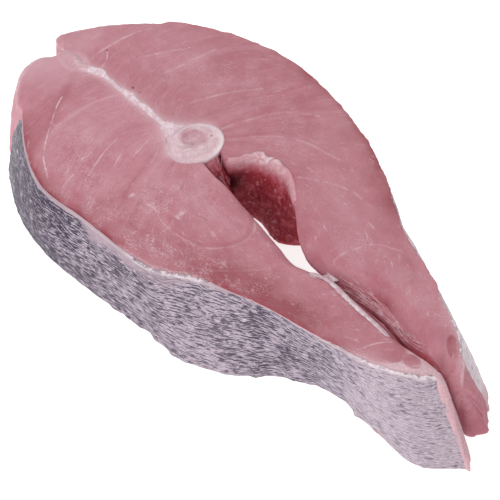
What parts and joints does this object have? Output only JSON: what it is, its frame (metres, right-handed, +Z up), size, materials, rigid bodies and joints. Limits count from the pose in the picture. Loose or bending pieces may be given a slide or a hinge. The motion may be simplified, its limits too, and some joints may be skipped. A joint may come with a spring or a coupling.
{
  "type": "raw kingfish steak",
  "caption": "Raw crosswise fish steak with pink flesh in two sides round a vertebra, a belly opening and grey speckled skin, lying flat.",
  "frame": {"origin": "middle of the footprint box, on the surface that the steak lies on", "axes": "+X from the fish's back to its belly, +Y across the fish to its right side, +Z up out of the cut face"},
  "size_m": [0.1832, 0.0932, 0.0258],
  "materials": {
    "flesh": "wet raw fish flesh",
    "skin": "wet speckled fish skin",
    "bone": "wet pale bone",
    "cartilage": "wet pale cartilage",
    "blood": "wet dark blood tissue",
    "membrane": "wet silvery lining"
  },
  "bodies": {
    "root": {"flesh_left": "flesh", "flesh_right": "flesh", "skin_left": "skin", "skin_right": "skin", "vertebra": "bone", "spine_plate": "bone", "fin_base": "cartilage", "blood_strip": "blood", "lining_left": "membrane", "lining_right": "membrane"}
  },
  "joints": []
}
